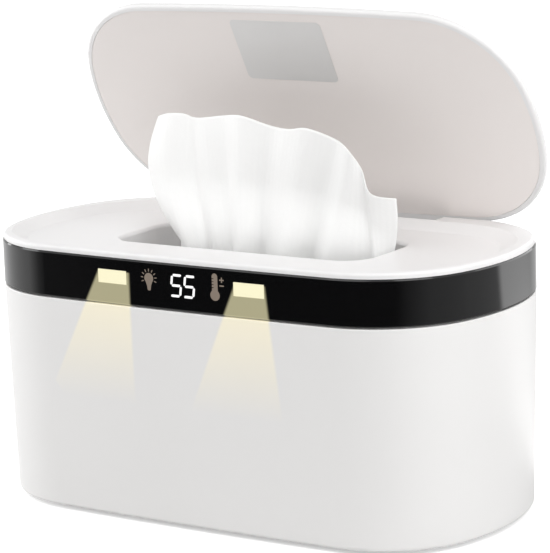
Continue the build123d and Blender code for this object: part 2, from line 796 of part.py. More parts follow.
with BuildPart() as heater_leads:
    for side in (-1, 1):
        lead(((-heater_lead_half * side, lead_hole_y, film_z - slip),
              (-heater_lead_half * side, lead_hole_y, pad_z - heater_lead_drop),
              (heater_plug_x + plug_length / 2 + 2 * slip, lead_hole_y + plug_lead_half * side, lead_z)))
finish(heater_leads.part, "heater_leads")


# ================= Top cover =================

with BuildPart() as top_cover:
    with BuildSketch(Plane.XY.offset(rim_bottom)):
        Plan(rim_inset)
    extrude(amount=rim_height)
    fillet(top_cover.edges().group_by(Axis.Z)[-1], rim_round)
    with BuildSketch(Plane.XY.offset(deck_z)):
        Plan(skirt_inset)
    extrude(amount=rim_bottom - deck_z)
    # skirt that stands on the tank seal
    with BuildSketch(Plane.XY.offset(skirt_bottom)):
        Plan(skirt_inset)
        Plan(skirt_inset + skirt_wall, mode=Mode.SUBTRACT)
    extrude(amount=deck_z - skirt_bottom)
    # dished tray
    with BuildPart(mode=Mode.SUBTRACT) as tray:
        with BuildSketch(Plane.XY.offset(tray_z)):
            with Locations((0, -tray_back_extra / 2)):
                TrayOutline(tray_slope)
        with BuildSketch(Plane.XY.offset(rim_top)):
            with Locations((0, -tray_back_extra / 2)):
                TrayOutline()
        loft(ruled=True)
        fillet(tray.edges().group_by(Axis.Z)[0], tray_foot_round)
    # dispensing well
    with BuildSketch(Plane.XY.offset(deck_z - well_drop)):
        with Locations((0, well_center_y)):
            RectangleRounded(well_length + 2 * well_wall, well_depth + 2 * well_wall,
                             well_radius + well_wall)
    extrude(amount=well_drop)
    with BuildSketch(Plane.XY.offset(deck_z - well_drop)):
        with Locations((0, well_center_y)):
            RectangleRounded(well_length, well_depth, well_radius)
    extrude(amount=well_drop + deck_wall, mode=Mode.SUBTRACT)
    well_edge = (top_cover.edges().filter_by_position(Axis.Z, tray_z - 0.01, tray_z + 0.01)
                 .filter_by_position(Axis.X, -well_length / 2, well_length / 2)
                 .filter_by_position(Axis.Y, well_center_y - well_depth / 2, well_center_y + well_depth / 2))
    fillet(well_edge, well_edge_round)
    # hinge trough: floor and walls hung from the deck, open at the top and over its low back wall
    with BuildSketch(Plane.XY.offset(trough_bottom)):
        with Locations((0, hinge_y)):
            Rectangle(2 * (trough_half + trough_wall), trough_front + trough_rear + 2 * trough_wall)
    extrude(amount=deck_z - trough_bottom)
    with BuildSketch(Plane.XY.offset(trough_floor)):
        with Locations((0, hinge_y)):
            Rectangle(2 * trough_half, trough_front + trough_rear)
    extrude(amount=rim_top, mode=Mode.SUBTRACT)
    with BuildSketch(Plane.XY.offset(trough_back_top)):
        with Locations((0, hinge_y + trough_rear + 2 * trough_wall)):
            Rectangle(2 * trough_half, 4 * trough_wall)
    extrude(amount=rim_top, mode=Mode.SUBTRACT)
    with BuildSketch(Plane.XY.offset(trough_bottom)):
        Plan(-rim_inset)
        Plan(band_wall + band_clearance, mode=Mode.SUBTRACT)
    extrude(amount=rim_bottom - trough_bottom, mode=Mode.SUBTRACT)
    # relief under the lid's swinging back edge
    with BuildSketch(Plane.YZ):
        with BuildLine():
            Polyline((back - relief_depth, rim_top), (back, rim_top), (back, rim_top - relief_drop),
                     close=True)
        make_face()
    extrude(amount=relief_half, both=True, mode=Mode.SUBTRACT)
    # two fixed knuckles on webs
    with BuildSketch(Plane.YZ):
        with Locations((hinge_y, hinge_z)):
            Circle(knuckle_radius)
        with Locations((hinge_y, (trough_floor + hinge_z) / 2)):
            Rectangle(2 * knuckle_radius, hinge_z - trough_floor)
    extrude(amount=cover_knuckle_out, both=True)
    with BuildSketch(Plane.YZ):
        with Locations((hinge_y, hinge_z)):
            Circle(knuckle_radius + fit_gap)
        with Locations((hinge_y, (trough_floor + hinge_z) / 2)):
            Rectangle(2 * (knuckle_radius + fit_gap), hinge_z - trough_floor)
    extrude(amount=cover_knuckle_in, both=True, mode=Mode.SUBTRACT)
    # bore for the pin, through knuckles and into the trough's end walls
    with BuildSketch(Plane.YZ):
        with Locations((hinge_y, hinge_z)):
            Circle(pin_radius + pin_press)
    extrude(amount=trough_half + pin_seat, both=True, mode=Mode.SUBTRACT)
finish(top_cover.part, "top_cover")

with BuildPart() as hinge_pin:
    with BuildSketch(Plane.YZ):
        with Locations((hinge_y, hinge_z)):
            Circle(pin_radius)
    extrude(amount=trough_half + pin_seat - slip, both=True)
    chamfer(hinge_pin.edges().filter_by(GeomType.CIRCLE), pin_chamfer)
finish(hinge_pin.part, "hinge_pin")

# ================= Lid, on the plane it turns with =================

lid_plane = Plane(origin=(0, hinge_y, hinge_z), x_dir=(1, 0, 0),
                  z_dir=(0, math.sin(math.radians(open_angle)), math.cos(math.radians(open_angle))))
lid_side_plane = Plane(origin=lid_plane.origin, x_dir=lid_plane.y_dir, z_dir=(1, 0, 0))

with BuildPart() as lid_shell:
    with BuildSketch(lid_plane.offset(lid_under)):
        with Locations((0, lid_center)):
            LidOutline()
    extrude(amount=lid_thickness)
    fillet(lid_shell.edges().group_by(Axis(lid_plane.origin, lid_plane.z_dir))[-1],
           lid_top_round)
    fillet(lid_shell.edges().group_by(Axis(lid_plane.origin, lid_plane.z_dir))[0], lid_edge_round)
    with BuildSketch(lid_plane.offset(lid_under)):
        with Locations((0, lid_center)):
            LidOutline(lid_land)
    extrude(amount=lid_thickness - lid_skin, mode=Mode.SUBTRACT)
    # hinge flange: from the lid's back edge down to the knuckles
    with BuildSketch(lid_side_plane):
        with BuildLine():
            Polyline((-knuckle_radius, 0), (-knuckle_radius, lid_under), (lid_back - lid_land, lid_under),
                     (lid_back - lid_land / 2, lid_under + leaf_rise), (leaf_back, lid_under - leaf_back),
                     (leaf_back + leaf_taper, lid_under - leaf_shoulder), (knuckle_radius, 0), close=True)
        make_face()
        Circle(knuckle_radius)
    extrude(amount=hinge_span / 2, both=True)
    for side in (-1, 1):
        with BuildSketch(lid_side_plane.offset(side * (cover_knuckle_out + cover_knuckle_in) / 2)):
            Circle(knuckle_radius + 2 * fit_gap)
        extrude(amount=cover_knuckle / 2 + knuckle_gap, both=True, mode=Mode.SUBTRACT)
    with BuildSketch(lid_side_plane):
        Circle(pin_radius + pin_clearance)
    extrude(amount=hinge_span, both=True, mode=Mode.SUBTRACT)
finish(lid_shell.part, "lid_shell")

with BuildPart() as lid_liner:
    with BuildSketch(lid_plane.offset(lid_under + liner_recess)):
        with Locations((0, lid_center)):
            LidOutline(lid_land + liner_gap)
    extrude(amount=liner_thickness)
finish(lid_liner.part, "lid_liner")

# ================= Wipes =================

with BuildPart() as wipe_stack:
    with BuildSketch(Plane.XY.offset(stack_z)):
        RectangleRounded(stack_length, stack_depth, stack_corner)
    extrude(amount=stack_height)
finish(wipe_stack.part, "wipe_stack")

# The wipe drawn up through the well, as a flat fan.
with BuildPart() as wipe_sheet:
    with BuildSketch(Plane.XZ):
        with BuildLine():
            fan = Spline((fan_right, rim_top + fan_right_height),
                         (0.74 * fan_right, rim_top + fan_shoulder), (0.32 * fan_right, fan_crown - 4),
                         (-0.24 * fan_left, fan_crown), (-0.76 * fan_left, fan_crown - 2),
                         (-fan_left, rim_top + fan_left_height),
                         (-(fan_left + waist_left) / 2, rim_top + fan_left_height / 4))
            Polyline(fan @ 1, (-waist_left, deck_z), (-wipe_foot, wipe_bottom), (wipe_foot, wipe_bottom),
                     (waist_right, deck_z), fan @ 0)
        make_face()
    extrude(amount=wipe_thickness / 2, both=True)
finish(wipe_sheet.part, "wipe_sheet")
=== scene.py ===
"""Looks of the baby wipe warmer: finishes, lit display, drawn wipe, folded wipes, lamps and camera."""
import json
import math

import bmesh
import bpy
from mathutils import Matrix, Vector, noise


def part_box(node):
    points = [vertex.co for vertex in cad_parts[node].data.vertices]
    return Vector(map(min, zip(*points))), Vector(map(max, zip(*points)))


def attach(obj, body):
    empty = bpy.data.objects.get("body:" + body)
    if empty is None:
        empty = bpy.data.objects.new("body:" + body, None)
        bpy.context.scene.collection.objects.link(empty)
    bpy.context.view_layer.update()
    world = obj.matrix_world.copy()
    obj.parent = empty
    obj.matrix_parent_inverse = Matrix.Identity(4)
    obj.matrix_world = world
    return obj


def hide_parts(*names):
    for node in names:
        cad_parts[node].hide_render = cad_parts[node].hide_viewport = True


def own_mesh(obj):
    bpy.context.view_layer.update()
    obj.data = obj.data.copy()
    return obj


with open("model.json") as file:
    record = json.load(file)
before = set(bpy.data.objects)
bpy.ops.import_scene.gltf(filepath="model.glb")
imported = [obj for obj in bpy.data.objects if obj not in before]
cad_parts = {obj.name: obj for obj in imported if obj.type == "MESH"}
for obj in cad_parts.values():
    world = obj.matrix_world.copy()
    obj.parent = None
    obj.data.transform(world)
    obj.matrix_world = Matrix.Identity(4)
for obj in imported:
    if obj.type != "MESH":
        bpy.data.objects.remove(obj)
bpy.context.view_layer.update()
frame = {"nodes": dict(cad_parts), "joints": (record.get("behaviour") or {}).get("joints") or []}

MM = 0.001

# ---- Places taken from the frame ----
band_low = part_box("display_band")[0]
stack_low, stack_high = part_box("wipe_stack")
sheet_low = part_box("wipe_sheet")[0]
lens_low, lens_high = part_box("night_light_lens_right")
lid_joint = next(j for j in frame["joints"] if j["name"] == "lid_hinge")
hinge = Vector(lid_joint["pos_m"])
open_angle = math.radians(lid_joint["range_deg"][1])

band_bow = 1960 * MM            # radius of the casing's long side
display_z = (lens_low.z + lens_high.z) / 2


# ---------------------------------------------------------------- colours and nodes
def linear(hex_colour):
    """sRGB hex to a linear RGBA colour."""
    channels = [int(hex_colour[i:i + 2], 16) / 255 for i in (1, 3, 5)]
    return [c / 12.92 if c <= 0.04045 else ((c + 0.055) / 1.055) ** 2.4 for c in channels] + [1.0]


def add(tree, kind, settings=None, **links):
    """Add a node. settings are its properties and input values, links are sockets that feed its inputs. An
    input goes by its name, or by its place where names repeat: 7 in settings is _7 in links."""
    node = tree.nodes.new(kind)
    for key, value in (settings or {}).items():
        if isinstance(key, str) and hasattr(node, key):
            setattr(node, key, value)
        else:
            node.inputs[key].default_value = value
    for key, socket in links.items():
        place = int(key[1:]) if key[0] == "_" else key.replace("_", " ")
        tree.links.new(socket, node.inputs[place])
    return node


def material(name, colour, **settings):
    """A Principled material with its plain values on the shader's own sockets."""
    made = bpy.data.materials.new(name)
    made.use_nodes = True
    shader = made.node_tree.nodes["Principled BSDF"]
    shader.inputs["Base Color"].default_value = linear(colour)
    for key, value in settings.items():
        shader.inputs[key.replace("_", " ")].default_value = value
    return made, made.node_tree, shader


def grain(tree, shader, size_mm, depth_mm):
    """Surface relief with cells size_mm across and depth_mm deep. Gives back its Texture Coordinate node."""
    place = add(tree, "ShaderNodeTexCoord")
    cells = add(tree, "ShaderNodeTexNoise", {"Scale": 1 / (size_mm * MM), "Detail": 2.0},
                Vector=place.outputs["Object"])
    bump = add(tree, "ShaderNodeBump", {"Strength": 1.0, "Distance": depth_mm * MM},
               Height=cells.outputs["Fac"])
    tree.links.new(bump.outputs["Normal"], shader.inputs["Normal"])
    return place


NOISE_LOW = 0.3                 # most of what a noise texture gives lies between these
NOISE_HIGH = 0.7


def uneven(tree, shader, place, size_mm, low, high):
    """Let the roughness drift between low and high over patches size_mm across."""
    patches = add(tree, "ShaderNodeTexNoise", {"Scale": 1 / (size_mm * MM), "Detail": 3.0},
                  Vector=place.outputs["Object"])
    ramp = add(tree, "ShaderNodeMapRange", {
        "From Min": NOISE_LOW, "From Max": NOISE_HIGH, "To Min": low, "To Max": high},
        Value=patches.outputs["Fac"])
    tree.links.new(ramp.outputs["Result"], shader.inputs["Roughness"])


def tint(tree, place, size_mm, first, second):
    """Two close colours mixed over patches size_mm across."""
    patches = add(tree, "ShaderNodeTexNoise", {"Scale": 1 / (size_mm * MM), "Detail": 2.0},
                  Vector=place.outputs["Object"])
    blend = add(tree, "ShaderNodeMix", {"data_type": "RGBA", 6: linear(first), 7: linear(second)},
                _0=patches.outputs["Fac"])
    return blend.outputs[2]


# The night light's two beams, painted on the front as light: each one's left edge at BEAM_LEVEL and how far
# it leans out for every millimetre down, then the same for its right edge. In mm.
BEAMS = ((-37.7, 0.526, -23.3, 0.0), (25.5, 0.44, 38.3, 0.107))
BEAM_LEVEL = 100.0
BEAM_TOP = 100.2                # where a beam begins, and where it has faded out
BEAM_END = 48.0
BEAM_EDGE = 1.6                 # how soft its sides are, and its top
BEAM_TOP_EDGE = 0.5
BEAM_FRONT = -57.5              # it falls only on faces in front of this


def painted_beams(tree, place):
    """How strongly the painted night-light beams show on the front: 1 under the windows, 0 beside and below
    its beams.
    """
    axes = add(tree, "ShaderNodeSeparateXYZ", _0=place.outputs["Object"])
    drop = add(tree, "ShaderNodeMath", {"operation": "SUBTRACT", 0: BEAM_LEVEL * MM}, _1=axes.outputs["Z"])
    shares = []
    for left, left_lean, right, right_lean in BEAMS:
        sides = []
        for edge, lean, way in ((left, left_lean, 1.0), (right, right_lean, -1.0)):
            across = add(tree, "ShaderNodeMath", {"operation": "MULTIPLY", 1: way}, _0=axes.outputs["X"])
            inside = add(tree, "ShaderNodeMath", {"operation": "MULTIPLY_ADD", 1: lean},
                         _0=drop.outputs[0], _2=across.outputs[0])
            sides.append(add(tree, "ShaderNodeMapRange", {
                "interpolation_type": "SMOOTHSTEP", "From Min": (way * edge - BEAM_EDGE / 2) * MM,
                "From Max": (way * edge + BEAM_EDGE / 2) * MM}, Value=inside.outputs[0]))
        shares.append(add(tree, "ShaderNodeMath", {"operation": "MULTIPLY"},
                          _0=sides[0].outputs["Result"], _1=sides[1].outputs["Result"]))
    total = add(tree, "ShaderNodeMath", {"operation": "ADD"},
                _0=shares[0].outputs[0], _1=shares[1].outputs[0])
    fade = add(tree, "ShaderNodeMapRange", {"From Min": BEAM_END * MM, "From Max": band_low.z},
               Value=axes.outputs["Z"])
    begin = add(tree, "ShaderNodeMapRange", {
        "From Min": BEAM_TOP * MM, "From Max": (BEAM_TOP - BEAM_TOP_EDGE) * MM}, Value=axes.outputs["Z"])
    front = add(tree, "ShaderNodeMath", {"operation": "LESS_THAN", 1: BEAM_FRONT * MM}, _0=axes.outputs["Y"])
    for part in (fade.outputs["Result"], begin.outputs["Result"], front.outputs[0]):
        total = add(tree, "ShaderNodeMath", {"operation": "MULTIPLY"}, _0=total.outputs[0], _1=part)
    return total.outputs[0]


# ---------------------------------------------------------------- finishes
def satin_abs():
    """ABS moulded in a spark-eroded tool: white, with a soft broad highlight. The night light's two beams are
    painted on its front as light: a warm tint in its colour and a warm glow."""
    made, tree, shader = material("satin_abs", "#E6E5E4", Roughness=0.40, IOR=1.52, Emission_Strength=0.11)
    place = grain(tree, shader, size_mm=0.5, depth_mm=0.005)
    uneven(tree, shader, place, size_mm=40, low=0.37, high=0.44)
    painted_beam_mask = painted_beams(tree, place)
    patchy = tint(tree, place, 60, "#E5E4E3", "#E8E7E6")
    # painted light: half the night-light beams' strength tints the casing's colour warm
    half = add(tree, "ShaderNodeMath", {"operation": "MULTIPLY", 1: 0.5}, _0=painted_beam_mask)
    painted_beam_tint = add(tree, "ShaderNodeMix", {"data_type": "RGBA", 7: linear("#F6E9BE")},
               _0=half.outputs[0], _6=patchy)
    # painted light: the night-light beams glow warm on the casing as emission
    glow = add(tree, "ShaderNodeMix", {"data_type": "RGBA", 6: linear("#000000"), 7: linear("#FFF4C8")},
               _0=painted_beam_mask)
    tree.links.new(painted_beam_tint.outputs[2], shader.inputs["Base Color"])
    tree.links.new(glow.outputs[2], shader.inputs["Emission Color"])
    return made


def smooth_abs():
    """ABS moulded in a polished tool: clean white with a tighter highlight on its rounded edges."""
    made, tree, shader = material("smooth_abs", "#EAE9E9", Roughness=0.32, IOR=1.52)
    place = grain(tree, shader, size_mm=0.8, depth_mm=0.0008)
    uneven(tree, shader, place, size_mm=30, low=0.30, high=0.35)
    tree.links.new(tint(tree, place, 50, "#E9E8E8", "#ECEBEB"), shader.inputs["Base Color"])
    return made


LID_LIGHTEN_FROM = 190                  # how high up, in mm, the lid's inner face has no painted light yet
LID_LIGHTEN_FULL = 110                 # and where its painted light, which offsets the shade towards the hinge, is full


def lid_abs():
    """The lid's inner ABS: white, finely textured and a little warmer, with painted light that makes it
    lighter towards the hinge, offsetting the shade there.
    """
    made, tree, shader = material("lid_abs", "#EEE8E5", Roughness=0.44, IOR=1.52)
    place = grain(tree, shader, size_mm=0.45, depth_mm=0.004)
    uneven(tree, shader, place, size_mm=40, low=0.41, high=0.48)
    patchy = tint(tree, place, 70, "#E9E3E0", "#EBE5E2")
    # painted light: lighter towards the hinge, offsetting the shade that falls there
    axes = add(tree, "ShaderNodeSeparateXYZ", _0=place.outputs["Object"])
    low = add(tree, "ShaderNodeMapRange", {"From Min": LID_LIGHTEN_FROM * MM, "From Max": LID_LIGHTEN_FULL * MM},
              Value=axes.outputs["Z"])
    blend = add(tree, "ShaderNodeMix", {"data_type": "RGBA", 7: linear("#F6F0ED")},
                _0=low.outputs["Result"], _6=patchy)
    tree.links.new(blend.outputs[2], shader.inputs["Base Color"])
    return made


def piano_black():
    """Black ABS with a polished piano finish: near-black, with clear reflections that brighten towards its
    turned ends. The night light's two beams are painted on it as a dull warm glow."""
    made, tree, shader = material("piano_black", "#0C0C0D", Roughness=0.07, IOR=1.5, Emission_Strength=0.42)
    place = grain(tree, shader, size_mm=14, depth_mm=0.002)
    uneven(tree, shader, place, size_mm=9, low=0.05, high=0.10)
    # painted light: the night-light beams glow warm on the band as emission
    glow = add(tree, "ShaderNodeMix", {"data_type": "RGBA", 6: linear("#000000"), 7: linear("#FFF7C9")},
               _0=painted_beams(tree, place))
    tree.links.new(glow.outputs[2], shader.inputs["Emission Color"])
    return made


def lit_lens():
    """Frosted polycarbonate lit from behind: an even warm cream glow."""
    made, tree, shader = material("lit_lens", "#8F8A6C", Roughness=0.35, IOR=1.58,
                                  Emission_Color=linear("#FFFAD8"), Emission_Strength=0.72)
    grain(tree, shader, size_mm=0.8, depth_mm=0.01)
    return made


def lit_white():
    """Light-emitting segments seen through smoked plastic: flat bright white."""
    made, tree, shader = material("lit_white", "#9A9A9A", Roughness=0.3,
                                  Emission_Color=linear("#FFFFFF"), Emission_Strength=0.8)
    grain(tree, shader, size_mm=0.4, depth_mm=0.002)
    return made


def lit_icon():
    """Icons printed in a half-clear grey-brown ink, dimly lit from behind."""
    made, tree, shader = material("lit_icon", "#5A5149", Roughness=0.25,
                                  Emission_Color=linear("#F0DCC8"), Emission_Strength=0.16)
    grain(tree, shader, size_mm=0.4, depth_mm=0.002)
    return made


STROKE_LENGTH = 16.667          # the brushed lines on the foil, in mm
STROKE_FINENESS = 30.0          # how many times finer they are across than along


def silver_foil():
    """Aluminised film with a brushed face, stuck flat: pale metal with a broad soft sheen."""
    made, tree, shader = material("silver_foil", "#DFDEDD", Roughness=0.42, Metallic=0.3)
    place = add(tree, "ShaderNodeTexCoord")
    stretch = add(tree, "ShaderNodeMapping", {"Scale": (1.0, STROKE_FINENESS, STROKE_FINENESS)},
                  Vector=place.outputs["Object"])
    lines = add(tree, "ShaderNodeTexNoise", {"Scale": 1 / (STROKE_LENGTH * MM), "Detail": 4.0},
                Vector=stretch.outputs["Vector"])
    bump = add(tree, "ShaderNodeBump", {"Strength": 0.6, "Distance": 0.01 * MM}, Height=lines.outputs["Fac"])
    tree.links.new(bump.outputs["Normal"], shader.inputs["Normal"])
    uneven(tree, shader, place, size_mm=12, low=0.32, high=0.46)
    return made


RIB_PITCH = 2.37                # between the wipe's ribs in mm, drawn coarser than real so that they show
DIMPLE_PITCH = 1.4
DAMP_PATCH = 9                  # patches that are more and less moist
WAVE_RATE = 20.0                # the wave texture's own rate: radians to each unit of its scale


def nonwoven():
    """Spunlace viscose, moist: white and matt, light of every colour passes through it alike, and its
    water-jet lines show as ribs with small dimples, on the cloth's own map so that they follow its folds."""
    made, tree, shader = material("nonwoven", "#FAFAF9", Roughness=0.7, IOR=1.4, Sheen_Weight=0.2,
                                  Subsurface_Weight=0.1, Subsurface_Scale=0.001,
                                  Subsurface_Radius=(1.0, 1.0, 1.0))
    cut = add(tree, "ShaderNodeUVMap", {"uv_map": "cut"})
    ribs = add(tree, "ShaderNodeTexWave", {
        "Scale": math.tau / WAVE_RATE / (RIB_PITCH * MM), "Distortion": 1.5, "Detail": 2.0,
        "Detail Scale": 2.0}, Vector=cut.outputs["UV"])
    dimples = add(tree, "ShaderNodeTexVoronoi", {"Scale": 1 / (DIMPLE_PITCH * MM)}, Vector=cut.outputs["UV"])
    height = add(tree, "ShaderNodeMath", {"operation": "ADD"}, _0=ribs.outputs["Fac"],
                 _1=dimples.outputs["Distance"])
    bump = add(tree, "ShaderNodeBump", {"Strength": 1.0, "Distance": 0.025 * MM}, Height=height.outputs[0])
    tree.links.new(bump.outputs["Normal"], shader.inputs["Normal"])
    damp = add(tree, "ShaderNodeTexNoise", {"Scale": 1 / (DAMP_PATCH * MM), "Detail": 2.0},
               Vector=cut.outputs["UV"])
    drift = add(tree, "ShaderNodeMapRange", {
        "From Min": NOISE_LOW, "From Max": NOISE_HIGH, "To Min": 0.6, "To Max": 0.78},
        Value=damp.outputs["Fac"])
    tree.links.new(drift.outputs["Result"], shader.inputs["Roughness"])
    return made


def moulded(name, colour, roughness, size_mm=0.6, depth_mm=0.01, metallic=0.0):
    """A plain moulded, cast or drawn finish for the pieces inside."""
    made, tree, shader = material(name, colour, Roughness=roughness, Metallic=metallic)
    place = grain(tree, shader, size_mm, depth_mm)
    uneven(tree, shader, place, size_mm=15, low=roughness * 0.85, high=roughness * 1.15)
    return made


white = satin_abs()
cover_white = smooth_abs()
lid_white = lid_abs()
black = piano_black()
lens = lit_lens()
segment_white = lit_white()
icon_ink = lit_icon()
foil = silver_foil()
wipe_cloth = nonwoven()
tank_pp = moulded("polypropylene", "#E6E4DE", 0.40)                        # waxy off-white
silicone = moulded("silicone", "#C9CBCC", 0.55, 0.4, 0.006)                # soft grey, hardly any highlight
foot_rubber = moulded("foot_rubber", "#2A2A2B", 0.75, 0.5, 0.02)           # near-black and matt
steel = moulded("zinc_plated_steel", "#B4B6B8", 0.32, 0.3, 0.004, 1.0)     # bright, with sharp highlights
aluminium = moulded("mill_aluminium", "#C4C6C8", 0.36, 0.8, 0.004, 1.0)    # as rolled, with a broad sheen
polyimide = moulded("polyimide_film", "#B5701F", 0.30, 2.0, 0.006)         # amber film with a clear sheen
foam = moulded("closed_cell_foam", "#D9D9D6", 0.85, 0.7, 0.12)             # matt, with its cells showing
board_mask = moulded("solder_mask", "#14532F", 0.35, 1.2, 0.01)            # deep green lacquer
resin = moulded("black_resin", "#121213", 0.5)                             # black and half matt
wire_sleeve = moulded("wire_sleeve", "#8E1D16", 0.45)                      # dark red vinyl, softly shining
ribbon_film = moulded("ribbon_film", "#DADCE0", 0.35)                      # pale grey and half glossy

FINISH = {
    "outer_shell": white, "bottom_cover": white, "top_cover": cover_white, "lid_shell": cover_white,
    "lid_liner": lid_white, "display_band": black, "night_light_lens_left": lens,
    "night_light_lens_right": lens, "inner_tank": tank_pp, "tank_seal": silicone,
    "rubber_feet": foot_rubber, "bottom_screws": steel, "display_screws": steel, "board_screws": steel,
    "inlet_nut": steel, "hinge_pin": steel, "thermal_fuse": steel, "heater_plate": aluminium,
    "heating_film": polyimide, "insulation_pad": foam, "insulation_wrap": foam, "touch_pads": foam,
    "main_board": board_mask, "display_board": board_mask, "board_components": resin,
    "light_shield": resin, "digit_display": resin, "ntc_sensor": resin, "power_inlet": resin,
    "night_light_leds": lens, "power_leads": wire_sleeve, "heater_leads": wire_sleeve,
    "display_ribbon": ribbon_film, "wipe_stack": wipe_cloth, "wipe_sheet": wipe_cloth,
}
for node_name, node in frame["nodes"].items():
    node.data.materials.clear()
    node.data.materials.append(FINISH[node_name])


# ---------------------------------------------------------------- making pieces
def shape(name, mesh, finish):
    """Link a mesh as a named object with its finish, flat-shaded."""
    made = bpy.data.objects.new(name, mesh)
    bpy.context.scene.collection.objects.link(made)
    mesh.materials.clear()
    mesh.materials.append(finish)
    for face in mesh.polygons:
        face.use_smooth = False
    return made


def piece(made, body):
    """Let a finished object ride on a body."""
    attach(made, body)


def bake(made):
    """Turn an object's modifiers into plain mesh with smooth shading."""
    graph = bpy.context.evaluated_depsgraph_get()
    mesh = bpy.data.meshes.new_from_object(made.evaluated_get(graph))
    old = made.data
    made.modifiers.clear()
    made.data = mesh
    for face in mesh.polygons:
        face.use_smooth = True
    bpy.data.meshes.remove(old)


def solid(made, first, last):
    """Close two matching rings of corners into a thin solid."""
    made.faces.new(first)
    made.faces.new(last)
    for i in range(len(first)):
        after = (i + 1) % len(first)
        made.faces.new((first[i], first[after], last[after], last[i]))


def finished(made, name):
    """A mesh from what was modelled, with its faces pointing outwards."""
    bmesh.ops.recalc_face_normals(made, faces=made.faces)
    mesh = bpy.data.meshes.new(name)
    made.to_mesh(mesh)
    made.free()
    return mesh


# ---- Lit symbols on the band: all in mm, about the display's middle ----
SYMBOL_LIFT = 0.03              # how far a symbol's back stands off the band
SYMBOL_THICK = 0.05
CORNER_POINTS = 7               # along a small round corner or end
CURVE_POINTS = 26               # along an icon's big round


def band_y(x):
    """Where the band's front face lies at x."""
    return band_low.y + band_bow - math.sqrt(band_bow ** 2 - x ** 2)


def symbol(name, outlines, finish):
    """Thin plates on the band's face, one for each outline of (x, z) points."""
    made = bmesh.new()
    for outline in outlines:
        back, front = ([made.verts.new((x * MM, band_y(x * MM) - lift * MM, display_z + z * MM))
                        for x, z in outline] for lift in (SYMBOL_LIFT, SYMBOL_LIFT + SYMBOL_THICK))
        solid(made, back, front)
    piece(shape(name, finished(made, name), finish), "base")


def arc(x, z, radius, start, end, count):
    """Points of an arc about (x, z), from one angle in degrees to another."""
    steps = [math.radians(start + (end - start) * i / (count - 1)) for i in range(count)]
    return [(x + radius * math.cos(t), z + radius * math.sin(t)) for t in steps]


def bar(x0, z0, x1, z1, width):
    """A round-ended stroke from one point to another."""
    angle = math.degrees(math.atan2(z1 - z0, x1 - x0))
    return (arc(x1, z1, width / 2, angle - 90, angle + 90, CORNER_POINTS)
            + arc(x0, z0, width / 2, angle + 90, angle + 270, CORNER_POINTS))


DIGIT_MIDDLE = (1.8, -0.9)      # between the two figures
DIGIT_HEIGHT = 8.0
DIGIT_WIDTH = 4.4
DIGIT_PITCH = 6.0
DIGIT_STROKE = 0.95
DIGIT_GAP = 0.75                # from a corner to where a segment ends
DIGIT_SLANT = 0.12              # how far it leans right for each millimetre up
SEGMENTS_OF_FIVE = ("top", "upper_left", "middle", "lower_right", "bottom")


def digit(x, z, lit):
    """The lit segments of one slanted seven-segment figure about (x, z)."""
    w, h, gap = DIGIT_WIDTH / 2, DIGIT_HEIGHT / 2, DIGIT_GAP
    places = {
        "top": (-w + gap, h, w - gap, h), "middle": (-w + gap, 0, w - gap, 0),
        "bottom": (-w + gap, -h, w - gap, -h),
        "upper_left": (-w, gap, -w, h - gap), "lower_left": (-w, -h + gap, -w, -gap),
        "upper_right": (w, gap, w, h - gap), "lower_right": (w, -h + gap, w, -gap)}
    strokes = [bar(*places[name], DIGIT_STROKE) for name in lit]
    return [[(x + px + DIGIT_SLANT * pz, z + pz) for px, pz in stroke] for stroke in strokes]


symbol("number_display", [outline for side in (-1, 1) for outline in
                          digit(DIGIT_MIDDLE[0] + side * DIGIT_PITCH / 2, DIGIT_MIDDLE[1], SEGMENTS_OF_FIVE)],
       segment_white)

LAMP_ICON_X = -13.8
GLASS_Z = 0.9
GLASS_RADIUS = 2.05
GLASS_OPENING = 96              # degrees left open at the bottom, where the neck goes in
BULB_NECK = ((-0.95, -1.9), (-0.7, -3.5), (-0.4, -3.8), (0.4, -3.8), (0.7, -3.5), (0.95, -1.9))
RAYS = 9
RAY_REACH = (2.75, 3.55)        # from the glass's middle
RAY_WIDTH = 0.36
RAY_SPAN = (-22, 202)           # degrees, from the first ray round to the last


def bulb(x):
    """A lamp bulb with its neck down and rays all round the glass."""
    glass = arc(x, GLASS_Z, GLASS_RADIUS, GLASS_OPENING / 2 - 90, 270 - GLASS_OPENING / 2, CURVE_POINTS)
    neck = [(x + dx, z) for dx, z in BULB_NECK]
    near, far = RAY_REACH
    rays = []
    for i in range(RAYS):
        t = math.radians(RAY_SPAN[0] + (RAY_SPAN[1] - RAY_SPAN[0]) * i / (RAYS - 1))
        rays.append(bar(x + near * math.cos(t), GLASS_Z + near * math.sin(t),
                        x + far * math.cos(t), GLASS_Z + far * math.sin(t), RAY_WIDTH))
    return [glass + neck] + rays


HEAT_ICON_X = 16.4
STEM_HALF = 1.25
STEM_TOP = 4.0                  # where its round top begins
FOOT_Z = -3.1
FOOT_RADIUS = 2.1
FOOT_OPENING = 74               # degrees left open at the top, where the stem goes in
TICKS = 4
TICK_TOP = 3.4
TICK_GAP = 1.15
TICK_SIZE = (0.75, 0.3)         # how deep and how high a notch is
SIGN_X = 3.1                    # the plus and the minus, right of the stem
SIGN_HALF = 0.8
SIGN_WIDTH = 0.5
PLUS_Z = 2.9
MINUS_Z = 0.7


